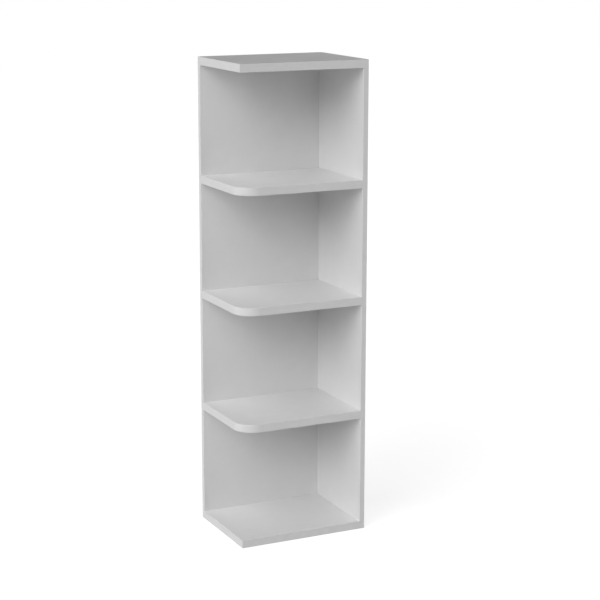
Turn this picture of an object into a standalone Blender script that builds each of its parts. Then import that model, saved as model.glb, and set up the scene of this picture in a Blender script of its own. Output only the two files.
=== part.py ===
"""An open end shelf unit: two uprights meet in an L and carry five fixed level boards.

Run it with blender --background --python part.py, or from Blender's text editor.
Units are metres. +Z is up, the wide back panel closes the +Y side, the narrow side panel closes
the +X side, and the -X and -Y sides are open. The origin is the middle of the footprint.
"""

import math

import bmesh
import bpy
from mathutils import Euler, Matrix, Vector

INCH = 0.0254
MM = 0.001

# Overall size, edge bands included.
WIDTH = 12 * INCH
DEPTH = 9 * INCH
HEIGHT = 42 * INCH

# Sheet goods.
PANEL_T = 12 * MM
BOARD_T = 18 * MM
SHELF_CORNER_R = 45 * MM
BAND_T = 1 * MM
BAND_EDGE_R = 0.6 * MM
GAP = 0.3 * MM  # left between neighbouring solids

# Countersunk chipboard screw, 3.5 x 40, with a cross recess.
SCREW_LENGTH = 40 * MM
SCREW_R = 1.75 * MM
SCREW_HEAD_R = 3.5 * MM
SCREW_RIM = 0.3 * MM
SCREW_TIP = 6 * MM
SCREW_TIP_R = 0.4 * MM
SCREW_SUNK = 0.4 * MM
RECESS_SPAN = 4.2 * MM
RECESS_ARM = 1.1 * MM
RECESS_DEPTH = 1.8 * MM
CUT_OVERRUN = 1 * MM  # how far a cutter stands past the face it enters

# Wooden dowel, 8 x 30, with its larger share in the board.
DOWEL_LENGTH = 30 * MM
DOWEL_R = 4 * MM
DOWEL_CHAMFER = 1 * MM
DOWEL_IN_PANEL = 8 * MM

# Distance from a board's edges to its screws.
BACK_SCREW_INSET = 45 * MM
SIDE_SCREW_INSET = 40 * MM

# Facets.
CORNER_STEPS = 12
BAND_EDGE_STEPS = 3
SCREW_SIDES = 10
DOWEL_SIDES = 12
SMOOTH_BELOW = math.radians(40)

# Worked out from the sizes above.
LEFT, RIGHT = -WIDTH / 2, WIDTH / 2
FRONT, REAR = -DEPTH / 2, DEPTH / 2
BANDED = BAND_T + GAP  # how far a banded edge's core stays inside the finished edge
BOARD_RIGHT = RIGHT - PANEL_T - GAP
BOARD_REAR = REAR - PANEL_T - GAP
BOARD_NAMES = ("bottom_board", "shelf_lower", "shelf_middle", "shelf_upper", "top_board")
SHELF_NAMES = BOARD_NAMES[1:4]
BAY_COUNT = len(BOARD_NAMES) - 1
BAY_HEIGHT = (HEIGHT - len(BOARD_NAMES) * BOARD_T) / BAY_COUNT
TO_BACK = (-math.pi / 2, 0, 0)  # turns a fixing's +Z to +Y
TO_SIDE = (0, math.pi / 2, 0)  # turns a fixing's +Z to +X


def board_z(index):
    """Height of the underside of a level board, counted up from the bottom one."""
    return index * (BOARD_T + BAY_HEIGHT)


# Building blocks.


def clear_scene():
    for obj in list(bpy.data.objects):
        bpy.data.objects.remove(obj)


def material(name, colour, roughness, metallic=0.0):
    made = bpy.data.materials.new(name)
    made.use_nodes = True
    shader = made.node_tree.nodes["Principled BSDF"]
    shader.inputs["Base Color"].default_value = (*colour, 1.0)
    shader.inputs["Roughness"].default_value = roughness
    shader.inputs["Metallic"].default_value = metallic
    made.diffuse_color = (*colour, 1.0)
    return made


def mesh_from(bm, name):
    bmesh.ops.recalc_face_normals(bm, faces=bm.faces)
    mesh = bpy.data.meshes.new(name)
    bm.to_mesh(mesh)
    bm.free()
    mesh.shade_smooth()
    mesh.set_sharp_from_angle(angle=SMOOTH_BELOW)
    return mesh


def add_piece(name, mesh, finish, parent, location=(0, 0, 0), rotation=(0, 0, 0)):
    """A named object at a place under parent. Copies of a piece share its mesh."""
    obj = bpy.data.objects.new(name, mesh)
    if not mesh.materials:
        mesh.materials.append(finish)
    obj.parent = parent
    obj.location = location
    obj.rotation_euler = rotation
    bpy.context.collection.objects.link(obj)
    return obj


def arc(centre, radius, start, end, steps):
    """Points on an arc from one angle to the other, both ends included."""
    angles = [start + (end - start) * i / steps for i in range(steps + 1)]
    return [(centre[0] + radius * math.cos(a), centre[1] + radius * math.sin(a)) for a in angles]


def extruded(name, outline, bottom, top):
    """A plate: an outline in X and Y, between two heights."""
    bm = bmesh.new()
    face = bm.faces.new([bm.verts.new((x, y, bottom)) for x, y in outline])
    raised = bmesh.ops.extrude_face_region(bm, geom=[face])["geom"]
    verts = [item for item in raised if isinstance(item, bmesh.types.BMVert)]
    bmesh.ops.translate(bm, verts=verts, vec=(0, 0, top - bottom))
    return mesh_from(bm, name)


def skinned(name, rings):
    """A solid through rings of points: quads between neighbours, a cap at each end."""
    bm = bmesh.new()
    rows = [[bm.verts.new(point) for point in ring] for ring in rings]
    for near, far in zip(rows, rows[1:]):
        for i in range(len(near)):
            j = (i + 1) % len(near)
            bm.faces.new((near[i], near[j], far[j], far[i]))
    bm.faces.new(rows[0])
    bm.faces.new(rows[-1])
    return mesh_from(bm, name)


def turned(name, profile, sides):
    """A solid of revolution about Z, from (radius, z) pairs."""
    angles = [2 * math.pi * i / sides for i in range(sides)]
    rings = [[(r * math.cos(a), r * math.sin(a), z) for a in angles] for r, z in profile]
    return skinned(name, rings)


# Uprights and boards.


def upright_panels(root):
    """The wide back panel, and the side panel that butts against its front face."""
    low, high = BANDED, HEIGHT - BANDED
    x0, x1 = LEFT + BANDED, RIGHT - BANDED
    y0, y1 = REAR - PANEL_T, REAR
    back = extruded("back_panel", ((x0, y0), (x1, y0), (x1, y1), (x0, y1)), low, high)
    x0, x1 = RIGHT - PANEL_T, RIGHT
    y0, y1 = FRONT + BANDED, REAR - PANEL_T - GAP
    side = extruded("side_panel", ((x0, y0), (x1, y0), (x1, y1), (x0, y1)), low, high)
    return [add_piece(mesh.name, mesh, LAMINATE, root) for mesh in (back, side)]


def board_outline(corner):
    """A level board seen from above, given its front left corner as a list of points."""
    x0, y0 = LEFT + BANDED, FRONT + BANDED
    return [(x0, BOARD_REAR), *corner(x0, y0), (BOARD_RIGHT, y0), (BOARD_RIGHT, BOARD_REAR)]


def square_corner(x, y):
    return [(x, y)]


def round_corner(x, y):
    radius = SHELF_CORNER_R - BANDED
    return arc((x + radius, y + radius), radius, math.pi, 1.5 * math.pi, CORNER_STEPS)


def level_boards(root):
    """A square board at the bottom and at the top, and three round-cornered shelves between."""
    square = extruded("square_board", board_outline(square_corner), 0, BOARD_T)
    rounded = extruded("rounded_board", board_outline(round_corner), 0, BOARD_T)
    boards = []
    for i, name in enumerate(BOARD_NAMES):
        mesh = rounded if name in SHELF_NAMES else square
        boards.append(add_piece(name, mesh, LAMINATE, root, (0, 0, board_z(i))))
    return boards


# Edge bands.


def band_section(width):
    """(outward, across) points of a band, glued face first, finished edges rounded."""
    half, out = width / 2, BAND_T - BAND_EDGE_R
    quarter = math.pi / 2
    low = arc((out, BAND_EDGE_R - half), BAND_EDGE_R, -quarter, 0, BAND_EDGE_STEPS)
    high = arc((out, half - BAND_EDGE_R), BAND_EDGE_R, 0, quarter, BAND_EDGE_STEPS)
    return [(0, -half), *low, *high, (0, half)]


def band(name, stations, width):
    """A band whose glued face runs through stations of (x, y, outward normal)."""
    section = band_section(width)
    rings = [[(x + nx * out, y + ny * out, z) for out, z in section] for x, y, (nx, ny) in stations]
    return skinned(name, rings)


def straight_band(name, length, width):
    """A band along +X, glued at y 0, with its finished face towards -Y."""
    return band(name, [(0, 0, (0, -1)), (length, 0, (0, -1))], width)


def shelf_band():
    """One band along a shelf's left edge, round its corner and along its front edge."""
    centre = (LEFT + SHELF_CORNER_R, FRONT + SHELF_CORNER_R)
    glued_r = SHELF_CORNER_R - BAND_T
    corner = arc(centre, glued_r, math.pi, 1.5 * math.pi, CORNER_STEPS)
    normals = arc((0, 0), 1, math.pi, 1.5 * math.pi, CORNER_STEPS)
    stations = [(LEFT + BAND_T, BOARD_REAR, (-1, 0))]
    stations += [(x, y, normal) for (x, y), normal in zip(corner, normals)]
    stations.append((BOARD_RIGHT, FRONT + BAND_T, (0, -1)))
    return band("shelf_band", stations, BOARD_T)


def facing(along, outward):
    """The turn that lays a straight band along one direction, finished face to the other."""
    x, y = Vector(along), -Vector(outward)
    return Matrix((x, y, x.cross(y))).transposed().to_euler()


def upright_bands(root):
    """The standing bands run full height, and cover the ends of the lying ones."""
    up, down = (0, 0, 1), (0, 0, -1)
    left, right, front, rear = (-1, 0, 0), (1, 0, 0), (0, -1, 0), (0, 1, 0)
    back_y, side_x = REAR - PANEL_T / 2, RIGHT - PANEL_T / 2
    x0, y0 = LEFT + BANDED, FRONT + BANDED
    tall = straight_band("tall_band", HEIGHT, PANEL_T)
    back_end = straight_band("back_end_band", WIDTH - 2 * BANDED, PANEL_T)
    side_end = straight_band("side_end_band", BOARD_REAR - y0, PANEL_T)
    rows = (
        ("band_back_left", tall, (LEFT + BAND_T, back_y, 0), up, left),
        ("band_back_right", tall, (RIGHT - BAND_T, back_y, 0), up, right),
        ("band_back_bottom", back_end, (x0, back_y, BAND_T), right, down),
        ("band_back_top", back_end, (x0, back_y, HEIGHT - BAND_T), right, up),
        ("band_side_front", tall, (side_x, FRONT + BAND_T, 0), up, front),
        ("band_side_bottom", side_end, (side_x, y0, BAND_T), rear, down),
        ("band_side_top", side_end, (side_x, y0, HEIGHT - BAND_T), rear, up),
    )
    for name, mesh, start, along, outward in rows:
        add_piece(name, mesh, BAND, root, start, facing(along, outward))


def board_bands(root):
    """Front and left bands on each square board, and one bent band on each shelf."""
    front = straight_band("front_band", BOARD_RIGHT - LEFT, BOARD_T)
    left = straight_band("left_band", BOARD_REAR - FRONT - BANDED, BOARD_T)
    bent = shelf_band()
    to_left = facing((0, -1, 0), (-1, 0, 0))
    for i, board in enumerate(BOARD_NAMES):
        z = board_z(i) + BOARD_T / 2
        if board in SHELF_NAMES:
            add_piece(f"band_{board}", bent, BAND, root, (0, 0, z))
            continue
        add_piece(f"band_{board}_front", front, BAND, root, (LEFT, FRONT + BAND_T, z))
        add_piece(f"band_{board}_left", left, BAND, root, (LEFT + BAND_T, BOARD_REAR, z), to_left)


# Screws and dowels, and the holes that they sit in.


def screw_profile(grow, rise):
    """(radius, z) of a screw, tip down, its head's face at z 0 or raised by rise."""
    cone = SCREW_HEAD_R - SCREW_R
    return [
        (SCREW_HEAD_R + grow, rise),
        (SCREW_HEAD_R + grow, -SCREW_RIM),
        (SCREW_R + grow, -SCREW_RIM - cone),
        (SCREW_R + grow, SCREW_TIP - SCREW_LENGTH),
        (SCREW_TIP_R + grow, -SCREW_LENGTH - grow),
    ]


def dowel_profile():
    """(radius, z) of a dowel about its middle, chamfered at both ends."""
    end, shoulder = DOWEL_LENGTH / 2, DOWEL_LENGTH / 2 - DOWEL_CHAMFER
    tip = DOWEL_R - DOWEL_CHAMFER
    return [(tip, end), (DOWEL_R, shoulder), (DOWEL_R, -shoulder), (tip, -end)]


def recess_outline():
    """A cross seen along the screw: one arm's corners, turned to the four sides."""
    half, reach = RECESS_ARM / 2, RECESS_SPAN / 2
    arm = ((reach, -half), (reach, half), (half, half))
    turns = ((1, 0), (0, 1), (-1, 0), (0, -1))
    return [(x * c - y * s, x * s + y * c) for c, s in turns for x, y in arm]


def screw_places():
    """(name, middle of the head, turn) of every screw. Heads sit just under the outer faces."""
    head_x, head_y = RIGHT - SCREW_SUNK, REAR - SCREW_SUNK
    back_xs = (("left", LEFT + BACK_SCREW_INSET), ("right", BOARD_RIGHT - BACK_SCREW_INSET))
    side_ys = (("front", FRONT + SIDE_SCREW_INSET), ("rear", BOARD_REAR - SIDE_SCREW_INSET))
    places = []
    for i, board in enumerate(BOARD_NAMES):
        z = board_z(i) + BOARD_T / 2
        places += [(f"screw_{board}_back_{end}", (x, head_y, z), TO_BACK) for end, x in back_xs]
        places += [(f"screw_{board}_side_{end}", (head_x, y, z), TO_SIDE) for end, y in side_ys]
    for bay in range(BAY_COUNT):
        z = board_z(bay) + BOARD_T + BAY_HEIGHT / 2
        places.append((f"screw_corner_{bay + 1}", (RIGHT - PANEL_T / 2, head_y, z), TO_BACK))
    return places


def dowel_places():
    """(name, middle, turn) of every dowel: one halfway along each joint."""
    beyond_panel = DOWEL_LENGTH / 2 - DOWEL_IN_PANEL
    x, y = RIGHT - PANEL_T - beyond_panel, REAR - PANEL_T - beyond_panel
    middle_x, middle_y = (LEFT + BOARD_RIGHT) / 2, (FRONT + BOARD_REAR) / 2
    places = []
    for i, board in enumerate(BOARD_NAMES):
        z = board_z(i) + BOARD_T / 2
        places.append((f"dowel_{board}_back", (middle_x, y, z), TO_BACK))
        places.append((f"dowel_{board}_side", (x, middle_y, z), TO_SIDE))
    return places


def hidden_cutter(name, shapes, root):
    """One mesh with a copy of each shape at each of its places. Renders leave it out."""
    bm = bmesh.new()
    for shape, places in shapes:
        for _, centre, turn in places:
            known = len(bm.verts)
            bm.from_mesh(shape)
            bm.verts.ensure_lookup_table()
            matrix = Matrix.LocRotScale(Vector(centre), Euler(turn), None)
            bmesh.ops.transform(bm, matrix=matrix, verts=bm.verts[known:])
    cutter = add_piece(name, mesh_from(bm, name), STEEL, root)
    cutter.hide_render = True
    cutter.display_type = "WIRE"
    return cutter


def cut(pieces, cutter):
    for piece in pieces:
        modifier = piece.modifiers.new(cutter.name, "BOOLEAN")
        modifier.operation = "DIFFERENCE"
        modifier.solver = "EXACT"
        modifier.object = cutter


def fixings(root, boards):
    """Screws from the two outer faces and dowels between, with their holes in the boards."""
    screw = turned("screw", screw_profile(grow=0, rise=0), SCREW_SIDES)
    dowel = turned("dowel", dowel_profile(), DOWEL_SIDES)
    screws = [add_piece(name, screw, STEEL, root, *place) for name, *place in screw_places()]
    for name, *place in dowel_places():
        add_piece(name, dowel, WOOD, root, *place)
    screw_hole = turned("screw_hole", screw_profile(GAP, CUT_OVERRUN), SCREW_SIDES)
    end = DOWEL_LENGTH / 2 + GAP
    dowel_hole = turned("dowel_hole", [(DOWEL_R + GAP, end), (DOWEL_R + GAP, -end)], DOWEL_SIDES)
    holes = ((screw_hole, screw_places()), (dowel_hole, dowel_places()))
    cut(boards, hidden_cutter("drillings", holes, root))
    recess = extruded("recess", recess_outline(), -RECESS_DEPTH, CUT_OVERRUN)
    cut(screws, hidden_cutter("drive_recesses", ((recess, screw_places()),), root))


def build():
    root = bpy.data.objects.new("shelf_unit", None)
    bpy.context.collection.objects.link(root)
    boards = upright_panels(root) + level_boards(root)
    upright_bands(root)
    board_bands(root)
    fixings(root, boards)


clear_scene()
LAMINATE = material("white_laminate", (0.80, 0.80, 0.80), 0.45)
BAND = material("white_edge_band", (0.82, 0.82, 0.82), 0.38)
STEEL = material("zinc_plated_steel", (0.66, 0.67, 0.69), 0.32, metallic=1.0)
WOOD = material("beech", (0.60, 0.42, 0.25), 0.60)
build()
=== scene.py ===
"""The looks of the open end shelf unit: every board, edge band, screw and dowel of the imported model
is rebuilt finely in its own place, given a procedural finish and set in a plain pale studio.

Units are metres, in the model's frame: +Z up, the back panel at +Y, the side panel at +X.
"""

import math
from collections import namedtuple

import bmesh
import bpy
from mathutils import Euler, Matrix, Vector


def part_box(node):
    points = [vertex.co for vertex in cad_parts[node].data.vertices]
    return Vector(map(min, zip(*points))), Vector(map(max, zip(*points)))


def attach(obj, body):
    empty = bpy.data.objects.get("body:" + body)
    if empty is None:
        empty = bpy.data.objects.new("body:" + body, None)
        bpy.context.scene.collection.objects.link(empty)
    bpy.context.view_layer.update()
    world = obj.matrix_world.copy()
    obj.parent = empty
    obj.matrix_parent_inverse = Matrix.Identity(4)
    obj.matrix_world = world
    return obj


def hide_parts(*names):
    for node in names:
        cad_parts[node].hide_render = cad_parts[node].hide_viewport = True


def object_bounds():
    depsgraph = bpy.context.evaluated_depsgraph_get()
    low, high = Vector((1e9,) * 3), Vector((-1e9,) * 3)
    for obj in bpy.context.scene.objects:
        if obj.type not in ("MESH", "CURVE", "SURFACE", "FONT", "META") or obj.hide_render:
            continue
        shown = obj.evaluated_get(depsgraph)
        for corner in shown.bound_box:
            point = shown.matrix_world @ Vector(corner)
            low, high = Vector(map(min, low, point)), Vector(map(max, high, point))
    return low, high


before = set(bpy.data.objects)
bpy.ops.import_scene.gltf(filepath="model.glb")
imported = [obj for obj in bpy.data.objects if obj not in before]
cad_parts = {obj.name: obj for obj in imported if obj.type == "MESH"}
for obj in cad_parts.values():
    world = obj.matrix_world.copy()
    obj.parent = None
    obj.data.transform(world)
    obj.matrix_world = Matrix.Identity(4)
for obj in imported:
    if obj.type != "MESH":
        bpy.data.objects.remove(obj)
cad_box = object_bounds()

MM = 0.001
X, Y, Z = 0, 1, 2

# Boards, each with the axis that its thickness lies along.
THICKNESS_AXIS = {
    "back_panel": Y,
    "side_panel": X,
    "bottom_board": Z,
    "shelf_lower": Z,
    "shelf_middle": Z,
    "shelf_upper": Z,
    "top_board": Z,
}
SHELVES = ("shelf_lower", "shelf_middle", "shelf_upper")
SHELF_CORNER_R = 45 * MM
CORNER_STEPS = 48
ARRIS = 0.15 * MM  # the eased edge all round a board
SHARP_EDGE = math.radians(60)  # an edge that turns more than this is eased
SQUARE_ON = 0.9  # a face whose normal lies this much along an axis is square to it
JOINT_FILL = 0.2 * MM  # how far a piece reaches into the model's 0.3 mm gap, for a fine joint line
LAMINATE_SLOT, CORE_SLOT, ARRIS_SLOT = range(3)  # the materials of a board's mesh

# Edge bands. The last word of a straight band's name says which way its finished face looks.
BAND_T = 1 * MM
BAND_EDGE_R = 0.6 * MM
BAND_EDGE_STEPS = 8
OUTWARD = {
    "left": Vector((-1, 0, 0)),
    "right": Vector((1, 0, 0)),
    "front": Vector((0, -1, 0)),
    "bottom": Vector((0, 0, -1)),
    "top": Vector((0, 0, 1)),
}

# Countersunk chipboard screw.
SCREW_HEAD_R = 3.5 * MM
SCREW_RIM = 0.3 * MM
HEAD_CHAMFER = 0.15 * MM
SCREW_CORE_R = 1.15 * MM
SCREW_NECK = SCREW_RIM + SCREW_HEAD_R - SCREW_CORE_R  # depth where the head's cone meets the core
SCREW_TIP = 6 * MM
SCREW_POINT = 0.08  # share of the core's radius that is left at the very tip
THREAD_HEIGHT = 0.55 * MM
THREAD_PITCH = 2 * MM
THREAD_HALF_WIDTH = 0.2  # share of the pitch from the middle of the thread to its root
THREAD_FLANK = 1.4  # above 1, the crest is a little flat
THREAD_RUN_IN = 3 * MM
THREAD_RINGS_PER_TURN = 10
SCREW_SIDES = 24
RECESS_REACH = 2.1 * MM
RECESS_HALF_ARM = 0.5 * MM
RECESS_DEPTH = 1.8 * MM
RECESS_FOOT = 0.45  # share of its width that the recess keeps at the bottom
RECESS_OVERRUN = 0.5 * MM  # how far its cutter stands above the head
RECESS_FLARE = 1.1  # share of its width that the cutter has there

# Holes for screws and dowels.
HOLE_EASE = 0.1 * MM
HOLE_OVERRUN = 1 * MM
HOLE_SIDES = 40

# Fluted dowel.
DOWEL_FLUTES = 20
STEPS_PER_FLUTE = 6
FLUTE_DEPTH = 0.25 * MM
RIDGE_NARROWING = 3  # the higher, the narrower the ridges between the flutes
DOWEL_CHAMFER = 1 * MM

# Shading.
SMOOTH_BELOW = math.radians(35)
FLAT_FACE = 900 * MM * MM  # a face this large is a true plane
PATTERN_SHIFT = 5  # how far apart the same pattern can start on two pieces
CHIP_SQUASH = 18 * MM  # half a board's thickness as the chips see it, so that they lie flat in it

# Camera.
CAMERA_AIM = Vector((0, -0.0895, 0.5446))
CAMERA_DISTANCE = 3.7597
CAMERA_AZIMUTH = math.radians(-25.967)
CAMERA_ELEVATION = math.radians(12.516)
CAMERA_ROLL = math.radians(0.109)
CAMERA_LENS = 102.65

# Soft lights: azimuth, elevation and width of each in degrees, and its strength in watts to the
# square metre. Azimuth 0 is the side that the unit's front edges face, and negative azimuths are on
# its open left. Those that come from below the horizon stand for light that a pale floor throws
# back, so no reflection shows them.
LIGHTS = {
    "key": (-70, 45, 70, 1.41),
    "high_key": (-70, 50, 34, 0.44),
    "front_key": (-55, 25, 34, 0.94),
    "left_bounce": (-120, -30, 34, 0.32),
    "right_bounce": (50, -12, 34, 0.53),
    "front_fill": (25, 12, 34, 0.11),
    "side_bounce": (100, -18, 34, 0.90),
    "rear_bounce": (155, -18, 34, 1.15),
}

# The white surroundings, below and above the horizon: how strongly they light the unit, and how
# bright they are where its surfaces reflect them.
AMBIENT = (0.275, 0.0)
REFLECTED = (0.6, 0.05)

# Floor.
FLOOR_HALF_WIDTH = 12
FLOOR_DROP = 0.5 * MM  # how far it lies under the unit, so that the two never share a plane
FLOOR_TONE = 0.4
FLOOR_BRIGHTNESS = 0.83  # a glow in the floor, so that it meets the white surround

# A screw or dowel: the middle of its end nearest the unit's outside, the turn from +Z to the way
# that this end faces, and its size.
Fixing = namedtuple("Fixing", "node outer_end turn length radius")


def polar(azimuth, elevation):
    """Unit vector towards an azimuth and elevation in radians."""
    level = math.cos(elevation)
    return Vector((math.sin(azimuth) * level, -math.cos(azimuth) * level, math.sin(elevation)))


# Building blocks.


def shade(mesh):
    """Smooth over narrow curved faces, and flat on faces large enough to be truly flat."""
    mesh.shade_smooth()
    mesh.set_sharp_from_angle(angle=SMOOTH_BELOW)
    for polygon in mesh.polygons:
        polygon.use_smooth = polygon.area < FLAT_FACE


def mesh_from(bm, name, *materials):
    """A shaded mesh from a bmesh, which is freed. The faces of a closed one are turned outward."""
    bmesh.ops.recalc_face_normals(bm, faces=bm.faces)
    mesh = bpy.data.meshes.new(name)
    bm.to_mesh(mesh)
    bm.free()
    for material in materials:
        mesh.materials.append(material)
    shade(mesh)
    return mesh


def add_object(name, mesh, location=(0, 0, 0), turn=(0, 0, 0)):
    obj = bpy.data.objects.new(name, mesh)
    obj.location = location
    obj.rotation_euler = turn
    bpy.context.scene.collection.objects.link(obj)
    return obj


def hold(mesh, name, vectors):
    """Give each point of a mesh a vector, for its material to read."""
    attribute = mesh.attributes.get(name) or mesh.attributes.new(name, "FLOAT_VECTOR", "POINT")
    attribute.data.foreach_set("vector", [number for vector in vectors for number in vector])


def add_piece(node, mesh, location=(0, 0, 0), turn=(0, 0, 0)):
    """An object that stands for one node of the model, on the model's one body."""
    hold(mesh, "place", [vertex.co for vertex in mesh.vertices])
    obj = add_object(f"{node}_finished", mesh, location, turn)
    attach(obj, "root")
    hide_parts(node)


def arc(centre, radius, start, end, steps):
    """Points on an arc from one angle to the other, both ends included."""
    angles = [start + (end - start) * i / steps for i in range(steps + 1)]
    return [(centre[0] + radius * math.cos(a), centre[1] + radius * math.sin(a)) for a in angles]


def round_angles(sides):
    return [2 * math.pi * i / sides for i in range(sides)]


def ring(radii, angles, z):
    """Points round the Z axis, with a radius for each angle."""
    return [(r * math.cos(a), r * math.sin(a), z) for r, a in zip(radii, angles)]


def skin(bm, rings):
    """Quads between neighbouring rings of points, with a cap at each end."""
    rows = [[bm.verts.new(point) for point in points] for points in rings]
    for near, far in zip(rows, rows[1:]):
        for i in range(len(near)):
            j = (i + 1) % len(near)
            bm.faces.new((near[i], near[j], far[j], far[i]))
    bm.faces.new(rows[0][::-1])
    bm.faces.new(rows[-1])


def cut_mesh(mesh, cutter_mesh):
    """The mesh less the cutter, whose faces keep their own material slot."""
    blank = add_object("blank", mesh)
    cutter = add_object("cutter", cutter_mesh)
    modifier = blank.modifiers.new("cut", "BOOLEAN")
    modifier.operation = "DIFFERENCE"
    modifier.solver = "EXACT"
    modifier.object = cutter
    bpy.context.view_layer.update()
    graph = bpy.context.evaluated_depsgraph_get()
    finished = bpy.data.meshes.new_from_object(blank.evaluated_get(graph))
    bpy.data.objects.remove(blank)
    bpy.data.objects.remove(cutter)
    shade(finished)
    return finished


# Materials.


class Finish:
    """A Principled material under construction. Its pattern starts elsewhere on each piece."""

    def __init__(self, name, metallic=0.0):
        self.material = bpy.data.materials.new(name)
        self.material.use_nodes = True
        self.tree = self.material.node_tree
        self.shader = self.tree.nodes["Principled BSDF"]
        self.shader.inputs["Metallic"].default_value = metallic
        self.place = self.shifted(self.held("place"))

    def node(self, kind):
        return self.tree.nodes.new(kind)

    def link(self, output, socket):
        self.tree.links.new(output, socket)

    def held(self, name):
        """A vector that the piece's mesh holds for its material."""
        node = self.node("ShaderNodeAttribute")
        node.attribute_name = name
        return node.outputs["Vector"]

    def shifted(self, place):
        """The place moved by a distance that differs from piece to piece."""
        shift = self.node("ShaderNodeMath")
        shift.operation = "MULTIPLY"
        shift.inputs[1].default_value = PATTERN_SHIFT
        self.link(self.node("ShaderNodeObjectInfo").outputs["Random"], shift.inputs[0])
        total = self.node("ShaderNodeVectorMath")
        self.link(place, total.inputs[0])
        self.link(shift.outputs["Value"], total.inputs[1])
        return total.outputs["Vector"]

    def stretched(self, place, scale):
        """The place scaled by a factor along each axis."""
        mapping = self.node("ShaderNodeMapping")
        mapping.inputs["Scale"].default_value = scale
        self.link(place, mapping.inputs["Vector"])
        return mapping.outputs["Vector"]

    def noise(self, scale, detail=3.0, distortion=0.0, place=None):
        """Fractal noise from 0 to 1, with this many features to the metre."""
        node = self.node("ShaderNodeTexNoise")
        node.inputs["Scale"].default_value = scale
        node.inputs["Detail"].default_value = detail
        node.inputs["Distortion"].default_value = distortion
        self.link(place or self.place, node.inputs["Vector"])
        return node.outputs["Fac"]

    def chips(self, scale, place):
        """A random value from 0 to 1 in each cell, with this many cells to the metre."""
        node = self.node("ShaderNodeTexVoronoi")
        node.inputs["Scale"].default_value = scale
        self.link(place, node.inputs["Vector"])
        return node.outputs["Color"]

    def from_middle(self, in_board):
        """How far a place in a board is from its middle plane: 0 there and 1 at both faces."""
        split = self.node("ShaderNodeSeparateXYZ")
        self.link(in_board, split.inputs[0])
        size = self.node("ShaderNodeMath")
        size.operation = "ABSOLUTE"
        self.link(split.outputs["Z"], size.inputs[0])
        return size.outputs["Value"]

    def spread(self, value, low, high, start=0.3, end=0.7):
        """A value from start to end, mapped to the range from low to high."""
        node = self.node("ShaderNodeMapRange")
        limits = {"From Min": start, "From Max": end, "To Min": low, "To Max": high}
        for name, number in limits.items():
            node.inputs[name].default_value = number
        self.link(value, node.inputs["Value"])
        return node.outputs["Result"]

    def blend(self, value, first, second):
        """A colour between two, each given as a colour or as an output."""
        node = self.node("ShaderNodeMix")
        node.data_type = "RGBA"
        self.link(value, node.inputs["Factor"])
        sockets = [socket for socket in node.inputs if socket.type == "RGBA"]
        for socket, colour in zip(sockets, (first, second)):
            if isinstance(colour, bpy.types.NodeSocket):
                self.link(colour, socket)
            else:
                socket.default_value = (*colour, 1.0)
        return next(socket for socket in node.outputs if socket.type == "RGBA")

    def relief(self, height, depth, under=None):
        """A bump of this depth in metres, over another bump if one is given."""
        node = self.node("ShaderNodeBump")
        node.inputs["Distance"].default_value = depth
        self.link(height, node.inputs["Height"])
        if under:
            self.link(under, node.inputs["Normal"])
        return node.outputs["Normal"]

    def finish(self, colour, roughness, normal):
        """The material, with these three outputs linked to its shader."""
        self.link(colour, self.shader.inputs["Base Color"])
        self.link(roughness, self.shader.inputs["Roughness"])
        self.link(normal, self.shader.inputs["Normal"])
        return self.material


def grey(value):
    return (value, value, value)


def laminate():
    """White melamine: even, with a fine pearl texture, faint rub marks and a satin sheen."""
    made = Finish("white_melamine")
    mottle = made.blend(made.spread(made.noise(35, detail=4), 0, 1), grey(0.790), grey(0.808))
    speckle = made.spread(made.noise(1800, detail=1), 0, 0.35)
    colour = made.blend(speckle, mottle, grey(0.775))
    rubbed = made.spread(made.noise(14, detail=6, distortion=1.5), 0.36, 0.48)
    waves = made.relief(made.noise(110, detail=1), 0.07 * MM)
    pearl = made.relief(made.noise(800, detail=2), 0.13 * MM, under=waves)
    return made.finish(colour, rubbed, pearl)


def laminate_arris():
    """The laminate's cut edge, where the decor thins over the core and handling polishes it."""
    made = Finish("white_melamine_arris")
    worn = made.noise(90, detail=5)
    colour = made.blend(made.spread(worn, 0, 1, start=0.5), grey(0.78), (0.70, 0.67, 0.63))
    return made.finish(colour, made.spread(worn, 0.30, 0.42), made.relief(worn, 0.01 * MM))


def edge_band():
    """White plastic band: smoother than the laminate, with fine draw lines along its length."""
    made = Finish("white_edge_band")
    # Few features to the metre along the band, and many across it.
    lengthwise = made.stretched(made.shifted(made.held("along_band")), (6, 2600, 1))
    drawn = made.noise(1, detail=3, place=lengthwise)
    tone = made.blend(made.spread(made.noise(60), 0, 1), grey(0.800), grey(0.822))
    colour = made.blend(made.spread(drawn, 0, 0.3), tone, grey(0.785))
    roughness = made.spread(drawn, 0.33, 0.45)
    ripple = made.relief(made.noise(120, detail=1), 0.1 * MM)
    return made.finish(colour, roughness, made.relief(drawn, 0.03 * MM, under=ripple))


def chipboard():
    """Bare particleboard: flat chips, coarse in the middle and fine under both faces, cut rough."""
    made = Finish("particleboard")
    in_board = made.held("in_board")
    flat = made.stretched(made.shifted(in_board), (1, 1, CHIP_SQUASH))
    fibre = made.noise(900, detail=5)
    coarse = made.blend(made.chips(320, flat), (0.33, 0.21, 0.12), (0.74, 0.57, 0.38))
    fine = made.blend(made.chips(1100, flat), (0.48, 0.35, 0.22), (0.72, 0.57, 0.40))
    depth = made.spread(made.from_middle(in_board), 0, 1, start=0.55, end=0.75)
    layered = made.blend(depth, coarse, fine)
    colour = made.blend(made.spread(fibre, 0, 0.7), layered, (0.58, 0.43, 0.28))
    return made.finish(colour, made.spread(fibre, 0.7, 0.95), made.relief(fibre, 0.15 * MM))


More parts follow.
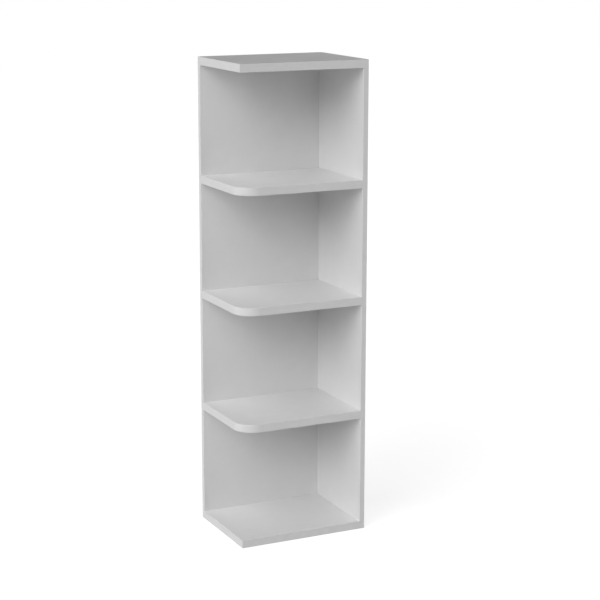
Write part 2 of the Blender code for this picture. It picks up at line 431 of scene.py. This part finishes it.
def zinc():
    """Bright zinc plate with a slightly uneven passivation."""
    made = Finish("zinc_plate", metallic=1.0)
    cloud = made.noise(500)
    colour = made.blend(made.spread(cloud, 0, 1), (0.60, 0.62, 0.65), (0.74, 0.73, 0.68))
    fine = made.noise(2500, detail=2)
    return made.finish(colour, made.spread(cloud, 0.24, 0.42), made.relief(fine, 0.01 * MM))


def beech():
    """Bare beech: grain along the dowel and short dark rays."""
    made = Finish("beech")
    grain = made.noise(1400, detail=4, place=made.stretched(made.place, (1, 1, 0.04)))
    rays = made.noise(900, detail=1, place=made.stretched(made.place, (1, 1, 0.3)))
    wood = made.blend(made.spread(grain, 0, 1), (0.50, 0.32, 0.18), (0.68, 0.49, 0.31))
    colour = made.blend(made.spread(rays, 0, 0.7, start=0.62, end=0.7), wood, (0.38, 0.22, 0.12))
    return made.finish(colour, made.spread(grain, 0.5, 0.7), made.relief(grain, 0.05 * MM))


# Screws and dowels. Each is made about its own Z axis, a screw with its head's face at z 0.


def thread_radius(z, angle, length):
    """Radius of the shank at a depth z below the head's face: a core, a thread and a point."""
    to_tip = (length - z) / SCREW_TIP
    core = SCREW_CORE_R * min(max(to_tip, SCREW_POINT), 1)
    height = THREAD_HEIGHT * math.sqrt(min(max(to_tip, 0), 1))
    height *= min(max((z - SCREW_NECK) / THREAD_RUN_IN, 0), 1)
    phase = (z / THREAD_PITCH - angle / (2 * math.pi)) % 1.0
    ridge = THREAD_FLANK * (1 - abs(phase - 0.5) / THREAD_HALF_WIDTH)
    return core + height * min(max(ridge, 0), 1)


def recess_mesh():
    """A cross that narrows towards its foot, for the driver."""
    turns = ((1, 0), (0, 1), (-1, 0), (0, -1))
    rings = []
    for z, share in ((RECESS_OVERRUN, RECESS_FLARE), (-RECESS_DEPTH, RECESS_FOOT)):
        half, reach = RECESS_HALF_ARM * share, RECESS_REACH * share
        arm = ((reach, -half), (reach, half), (half, half))
        rings.append([(x * c - y * s, x * s + y * c, z) for c, s in turns for x, y in arm])
    bm = bmesh.new()
    skin(bm, rings)
    return mesh_from(bm, "recess")


def screw_mesh(length):
    """A countersunk head with a cross recess, on a threaded shank that ends in a point."""
    angles = round_angles(SCREW_SIDES)
    head = (
        (SCREW_HEAD_R - HEAD_CHAMFER, 0),
        (SCREW_HEAD_R, HEAD_CHAMFER),
        (SCREW_HEAD_R, SCREW_RIM),
    )
    rings = [ring([r] * SCREW_SIDES, angles, -z) for r, z in head]
    count = round((length - SCREW_NECK) / THREAD_PITCH * THREAD_RINGS_PER_TURN)
    for k in range(count + 1):
        z = SCREW_NECK + (length - SCREW_NECK) * k / count
        rings.append(ring([thread_radius(z, a, length) for a in angles], angles, -z))
    bm = bmesh.new()
    skin(bm, rings)
    return cut_mesh(mesh_from(bm, "screw", ZINC), recess_mesh())


def dowel_mesh(length, radius):
    """A fluted dowel about its middle, chamfered at both ends."""
    angles = round_angles(DOWEL_FLUTES * STEPS_PER_FLUTE)
    ridges = [abs(math.sin(DOWEL_FLUTES * a / 2)) ** RIDGE_NARROWING for a in angles]
    end, shoulder = length / 2, length / 2 - DOWEL_CHAMFER
    tip = [radius - DOWEL_CHAMFER] * len(angles)
    body = [radius - FLUTE_DEPTH * (1 - ridge) for ridge in ridges]
    sections = ((tip, end), (body, shoulder), (body, -shoulder), (tip, -end))
    rings = [ring(radii, angles, z) for radii, z in sections]
    bm = bmesh.new()
    skin(bm, rings)
    return mesh_from(bm, "dowel", BEECH)


def fixings_named(prefix):
    """Every screw or every dowel of the model, sorted by name."""
    found = []
    for node in sorted(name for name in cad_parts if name.startswith(prefix)):
        low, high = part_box(node)
        to_back = high.y - low.y > high.x - low.x
        turn = Euler((-math.pi / 2, 0, 0)) if to_back else Euler((0, math.pi / 2, 0))
        length = max(high - low)
        outer_end = (low + high) / 2 + turn.to_matrix() @ Vector((0, 0, length / 2))
        found.append(Fixing(node, outer_end, turn, length, min(high - low) / 2))
    return found


def hole_profile(fixing):
    """(radius, z) of the hole for a screw or dowel, in the fixing's own frame, outer end at z 0."""
    foot = -fixing.length - HOLE_EASE
    if fixing.node.startswith("dowel_"):
        bore = fixing.radius + HOLE_EASE
        return [(bore, HOLE_EASE), (bore, foot)]
    mouth, shank = SCREW_HEAD_R + HOLE_EASE, SCREW_CORE_R + THREAD_HEIGHT + HOLE_EASE
    return [
        (mouth, HOLE_OVERRUN),
        (mouth, -SCREW_RIM),
        (shank, -SCREW_RIM - mouth + shank),
        (shank, foot),
    ]


def drillings(fixings):
    """One mesh with every screw and dowel hole of the unit."""
    angles = round_angles(HOLE_SIDES)
    bm = bmesh.new()
    for fixing in fixings:
        matrix = Matrix.LocRotScale(fixing.outer_end, fixing.turn, None)
        rings = [ring([r] * HOLE_SIDES, angles, z) for r, z in hole_profile(fixing)]
        skin(bm, [[matrix @ Vector(point) for point in points] for points in rings])
    for face in bm.faces:
        face.material_index = CORE_SLOT
    return mesh_from(bm, "drillings")


def add_fixings(screws, dowels):
    """Each screw and each dowel at its place in the model, sharing one mesh of its kind."""
    screw = screw_mesh(screws[0].length)
    for fixing in screws:
        add_piece(fixing.node, screw, fixing.outer_end, fixing.turn)
    dowel = dowel_mesh(dowels[0].length, dowels[0].radius)
    for fixing in dowels:
        to_end = fixing.turn.to_matrix() @ Vector((0, 0, fixing.length / 2))
        add_piece(fixing.node, dowel, fixing.outer_end - to_end, fixing.turn)


# Boards.


def filled_box(node):
    """A board's box, reaching into the joint gaps all round its edge."""
    low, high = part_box(node)
    for axis in {X, Y, Z} - {THICKNESS_AXIS[node]}:
        low[axis] -= JOINT_FILL
        high[axis] += JOINT_FILL
    return low, high


def shelf_corner(node, low):
    """A shelf's rounded corner, about the same centre as the band that wraps it."""
    band_low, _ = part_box(f"band_{node}")
    centre = (band_low.x + SHELF_CORNER_R, band_low.y + SHELF_CORNER_R)
    return arc(centre, centre[0] - low.x, math.pi, 1.5 * math.pi, CORNER_STEPS)


def board_mesh(node):
    """A board with laminate on its two faces, bare core at its sides and every edge eased."""
    low, high = filled_box(node)
    corner = shelf_corner(node, low) if node in SHELVES else [(low.x, low.y)]
    outline = [(low.x, high.y), *corner, (high.x, low.y), (high.x, high.y)]
    bm = bmesh.new()
    skin(bm, [[(x, y, z) for x, y in outline] for z in (low.z, high.z)])
    bmesh.ops.recalc_face_normals(bm, faces=bm.faces)
    for face in bm.faces:
        laminated = abs(face.normal[THICKNESS_AXIS[node]]) > SQUARE_ON
        face.material_index = LAMINATE_SLOT if laminated else CORE_SLOT
    sharp = [edge for edge in bm.edges if edge.calc_face_angle(0) > SHARP_EDGE]
    bmesh.ops.bevel(
        bm, geom=sharp, offset=ARRIS, segments=2, profile=0.5, affect="EDGES", material=ARRIS_SLOT
    )
    return mesh_from(bm, node, LAMINATE, CHIPBOARD, LAMINATE_ARRIS)


def places_in_board(node, mesh):
    """Each point's place along a board's two long axes, and through it from -1 to 1."""
    low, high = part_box(node)
    through = THICKNESS_AXIS[node]
    first, second = [axis for axis in (X, Y, Z) if axis != through]
    middle = (low[through] + high[through]) / 2
    half = (high[through] - low[through]) / 2
    return [(v.co[first], v.co[second], (v.co[through] - middle) / half) for v in mesh.vertices]


def add_boards(fixings):
    for node in THICKNESS_AXIS:
        mesh = cut_mesh(board_mesh(node), drillings(fixings))
        hold(mesh, "in_board", places_in_board(node, mesh))
        add_piece(node, mesh)


# Edge bands.


def band_section(width):
    """(outward, across) points of a band, glued face first, finished edges rounded."""
    half, out = width / 2, BAND_T - BAND_EDGE_R
    quarter = math.pi / 2
    low = arc((out, BAND_EDGE_R - half), BAND_EDGE_R, -quarter, 0, BAND_EDGE_STEPS)
    high = arc((out, half - BAND_EDGE_R), BAND_EDGE_R, 0, quarter, BAND_EDGE_STEPS)
    return [(0, -half), *low, *high, (0, half)]


def distances(points):
    """How far each point lies along the line through them all."""
    total = [0.0]
    for near, far in zip(points, points[1:]):
        total.append(total[-1] + (Vector(far) - Vector(near)).length)
    return total


def add_band(node, stations, width):
    """A band through stations of (place, outward, across), the place being on its glued face."""
    section = band_section(width)
    rings = [[place + out * o + across * a for o, a in section] for place, out, across in stations]
    bm = bmesh.new()
    skin(bm, rings)
    mesh = mesh_from(bm, node, BAND)
    along = distances([place for place, _, _ in stations])
    around = distances(section)
    hold(mesh, "along_band", [(a, b, 0) for a in along for b in around])
    add_piece(node, mesh)


def filled_end(end, way):
    """The end of a band, reaching into the joint gap unless it is on the unit's outside."""
    corner = cad_box[0] if sum(way) < 0 else cad_box[1]
    to_outside = abs((corner - end).dot(way))
    return end + way * (JOINT_FILL if to_outside > JOINT_FILL else 0)


def add_straight_band(node):
    low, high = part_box(node)
    length, width, _ = sorted(high - low, reverse=True)
    out = OUTWARD[node.rsplit("_", 1)[1]]
    along = Vector([float(side == length) for side in high - low])
    glued = (low + high) / 2 - out * BAND_T / 2
    ends = [filled_end(glued + way * length / 2, way) for way in (-along, along)]
    add_band(node, [(end, out, along.cross(out)) for end in ends], width)


def add_shelf_band(node):
    """One band along a shelf's left edge, round its corner and along its front edge."""
    low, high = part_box(node)
    left, front, up = OUTWARD["left"], OUTWARD["front"], OUTWARD["top"]
    z = (low.z + high.z) / 2
    centre = Vector((low.x + SHELF_CORNER_R, low.y + SHELF_CORNER_R, z))
    stations = [(Vector((low.x + BAND_T, high.y + JOINT_FILL, z)), left, up)]
    for x, y in arc((0, 0), 1, math.pi, 1.5 * math.pi, CORNER_STEPS):
        out = Vector((x, y, 0))
        stations.append((centre + out * (SHELF_CORNER_R - BAND_T), out, up))
    stations.append((Vector((high.x + JOINT_FILL, low.y + BAND_T, z)), front, up))
    add_band(node, stations, high.z - low.z)


def add_bands():
    shelf_bands = [f"band_{shelf}" for shelf in SHELVES]
    for node in sorted(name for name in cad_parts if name.startswith("band_")):
        if node in shelf_bands:
            add_shelf_band(node)
        else:
            add_straight_band(node)


# Studio.


def add_camera():
    data = bpy.data.cameras.new("camera")
    data.lens = CAMERA_LENS
    camera = add_object("camera", data)
    level = Euler((math.pi / 2 - CAMERA_ELEVATION, 0, CAMERA_AZIMUTH)).to_matrix()
    turn = level @ Matrix.Rotation(CAMERA_ROLL, 3, "Z")
    place = CAMERA_AIM + polar(CAMERA_AZIMUTH, CAMERA_ELEVATION) * CAMERA_DISTANCE
    camera.matrix_world = Matrix.LocRotScale(place, turn, None)
    bpy.context.scene.camera = camera


def add_lights():
    for name, (azimuth, elevation, width, strength) in LIGHTS.items():
        data = bpy.data.lights.new(name, "SUN")
        data.angle = math.radians(width)
        data.energy = strength
        light = add_object(name, data)
        towards = polar(math.radians(azimuth), math.radians(elevation))
        light.rotation_euler = towards.to_track_quat("Z", "Y").to_euler()
        light.visible_glossy = elevation > 0


def between(tree, value, low, high):
    """The low number where the value is 0, and the high one where it is 1."""
    node = tree.nodes.new("ShaderNodeMapRange")
    for name, number in (("To Min", low), ("To Max", high)):
        if isinstance(number, bpy.types.NodeSocket):
            tree.links.new(number, node.inputs[name])
        else:
            node.inputs[name].default_value = number
    tree.links.new(value, node.inputs["Value"])
    return node.outputs["Result"]


def add_surround():
    """White in the picture, but with other strengths as light and in reflections."""
    world = bpy.data.worlds.new("surround")
    world.use_nodes = True
    tree = world.node_tree
    direction = tree.nodes.new("ShaderNodeSeparateXYZ")
    tree.links.new(tree.nodes.new("ShaderNodeTexCoord").outputs["Generated"], direction.inputs[0])
    above = tree.nodes.new("ShaderNodeMath")
    above.operation = "GREATER_THAN"
    above.inputs[1].default_value = 0
    tree.links.new(direction.outputs["Z"], above.inputs[0])
    ambient = between(tree, above.outputs["Value"], *AMBIENT)
    reflected = between(tree, above.outputs["Value"], *REFLECTED)
    ray = tree.nodes.new("ShaderNodeLightPath").outputs
    indirect = between(tree, ray["Is Glossy Ray"], ambient, reflected)
    background = tree.nodes["Background"]
    background.inputs["Color"].default_value = (*grey(1), 1)
    tree.links.new(between(tree, ray["Is Camera Ray"], indirect, 1), background.inputs["Strength"])
    bpy.context.scene.world = world
    bpy.context.scene.view_settings.view_transform = "Standard"


def floor_material():
    """Pale, with soft shadows, and clear from below so that the unit's underside can be seen."""
    material = bpy.data.materials.new("floor")
    material.use_nodes = True
    tree = material.node_tree
    tree.nodes.clear()
    diffuse = tree.nodes.new("ShaderNodeBsdfDiffuse")
    diffuse.inputs["Color"].default_value = (*grey(FLOOR_TONE), 1)
    glow = tree.nodes.new("ShaderNodeEmission")
    glow.inputs["Strength"].default_value = FLOOR_BRIGHTNESS
    pale = tree.nodes.new("ShaderNodeAddShader")
    tree.links.new(diffuse.outputs[0], pale.inputs[0])
    tree.links.new(glow.outputs[0], pale.inputs[1])
    sided = tree.nodes.new("ShaderNodeMixShader")
    tree.links.new(tree.nodes.new("ShaderNodeNewGeometry").outputs["Backfacing"], sided.inputs[0])
    tree.links.new(pale.outputs[0], sided.inputs[1])
    tree.links.new(tree.nodes.new("ShaderNodeBsdfTransparent").outputs[0], sided.inputs[2])
    output = tree.nodes.new("ShaderNodeOutputMaterial")
    tree.links.new(sided.outputs[0], output.inputs["Surface"])
    return material


def add_floor():
    """A floor that only the camera sees, because the lights already hold what it throws back."""
    bm = bmesh.new()
    bmesh.ops.create_grid(bm, x_segments=1, y_segments=1, size=FLOOR_HALF_WIDTH)
    floor = add_object("floor", mesh_from(bm, "floor", floor_material()), (0, 0, -FLOOR_DROP))
    floor.visible_diffuse = False
    floor.visible_glossy = False
    floor.visible_transmission = False
    floor.visible_shadow = False


LAMINATE, CHIPBOARD, LAMINATE_ARRIS = laminate(), chipboard(), laminate_arris()
BAND, ZINC, BEECH = edge_band(), zinc(), beech()
SCREWS, DOWELS = fixings_named("screw_"), fixings_named("dowel_")
add_boards(SCREWS + DOWELS)
add_bands()
add_fixings(SCREWS, DOWELS)
add_lights()
add_surround()
add_floor()
add_camera()
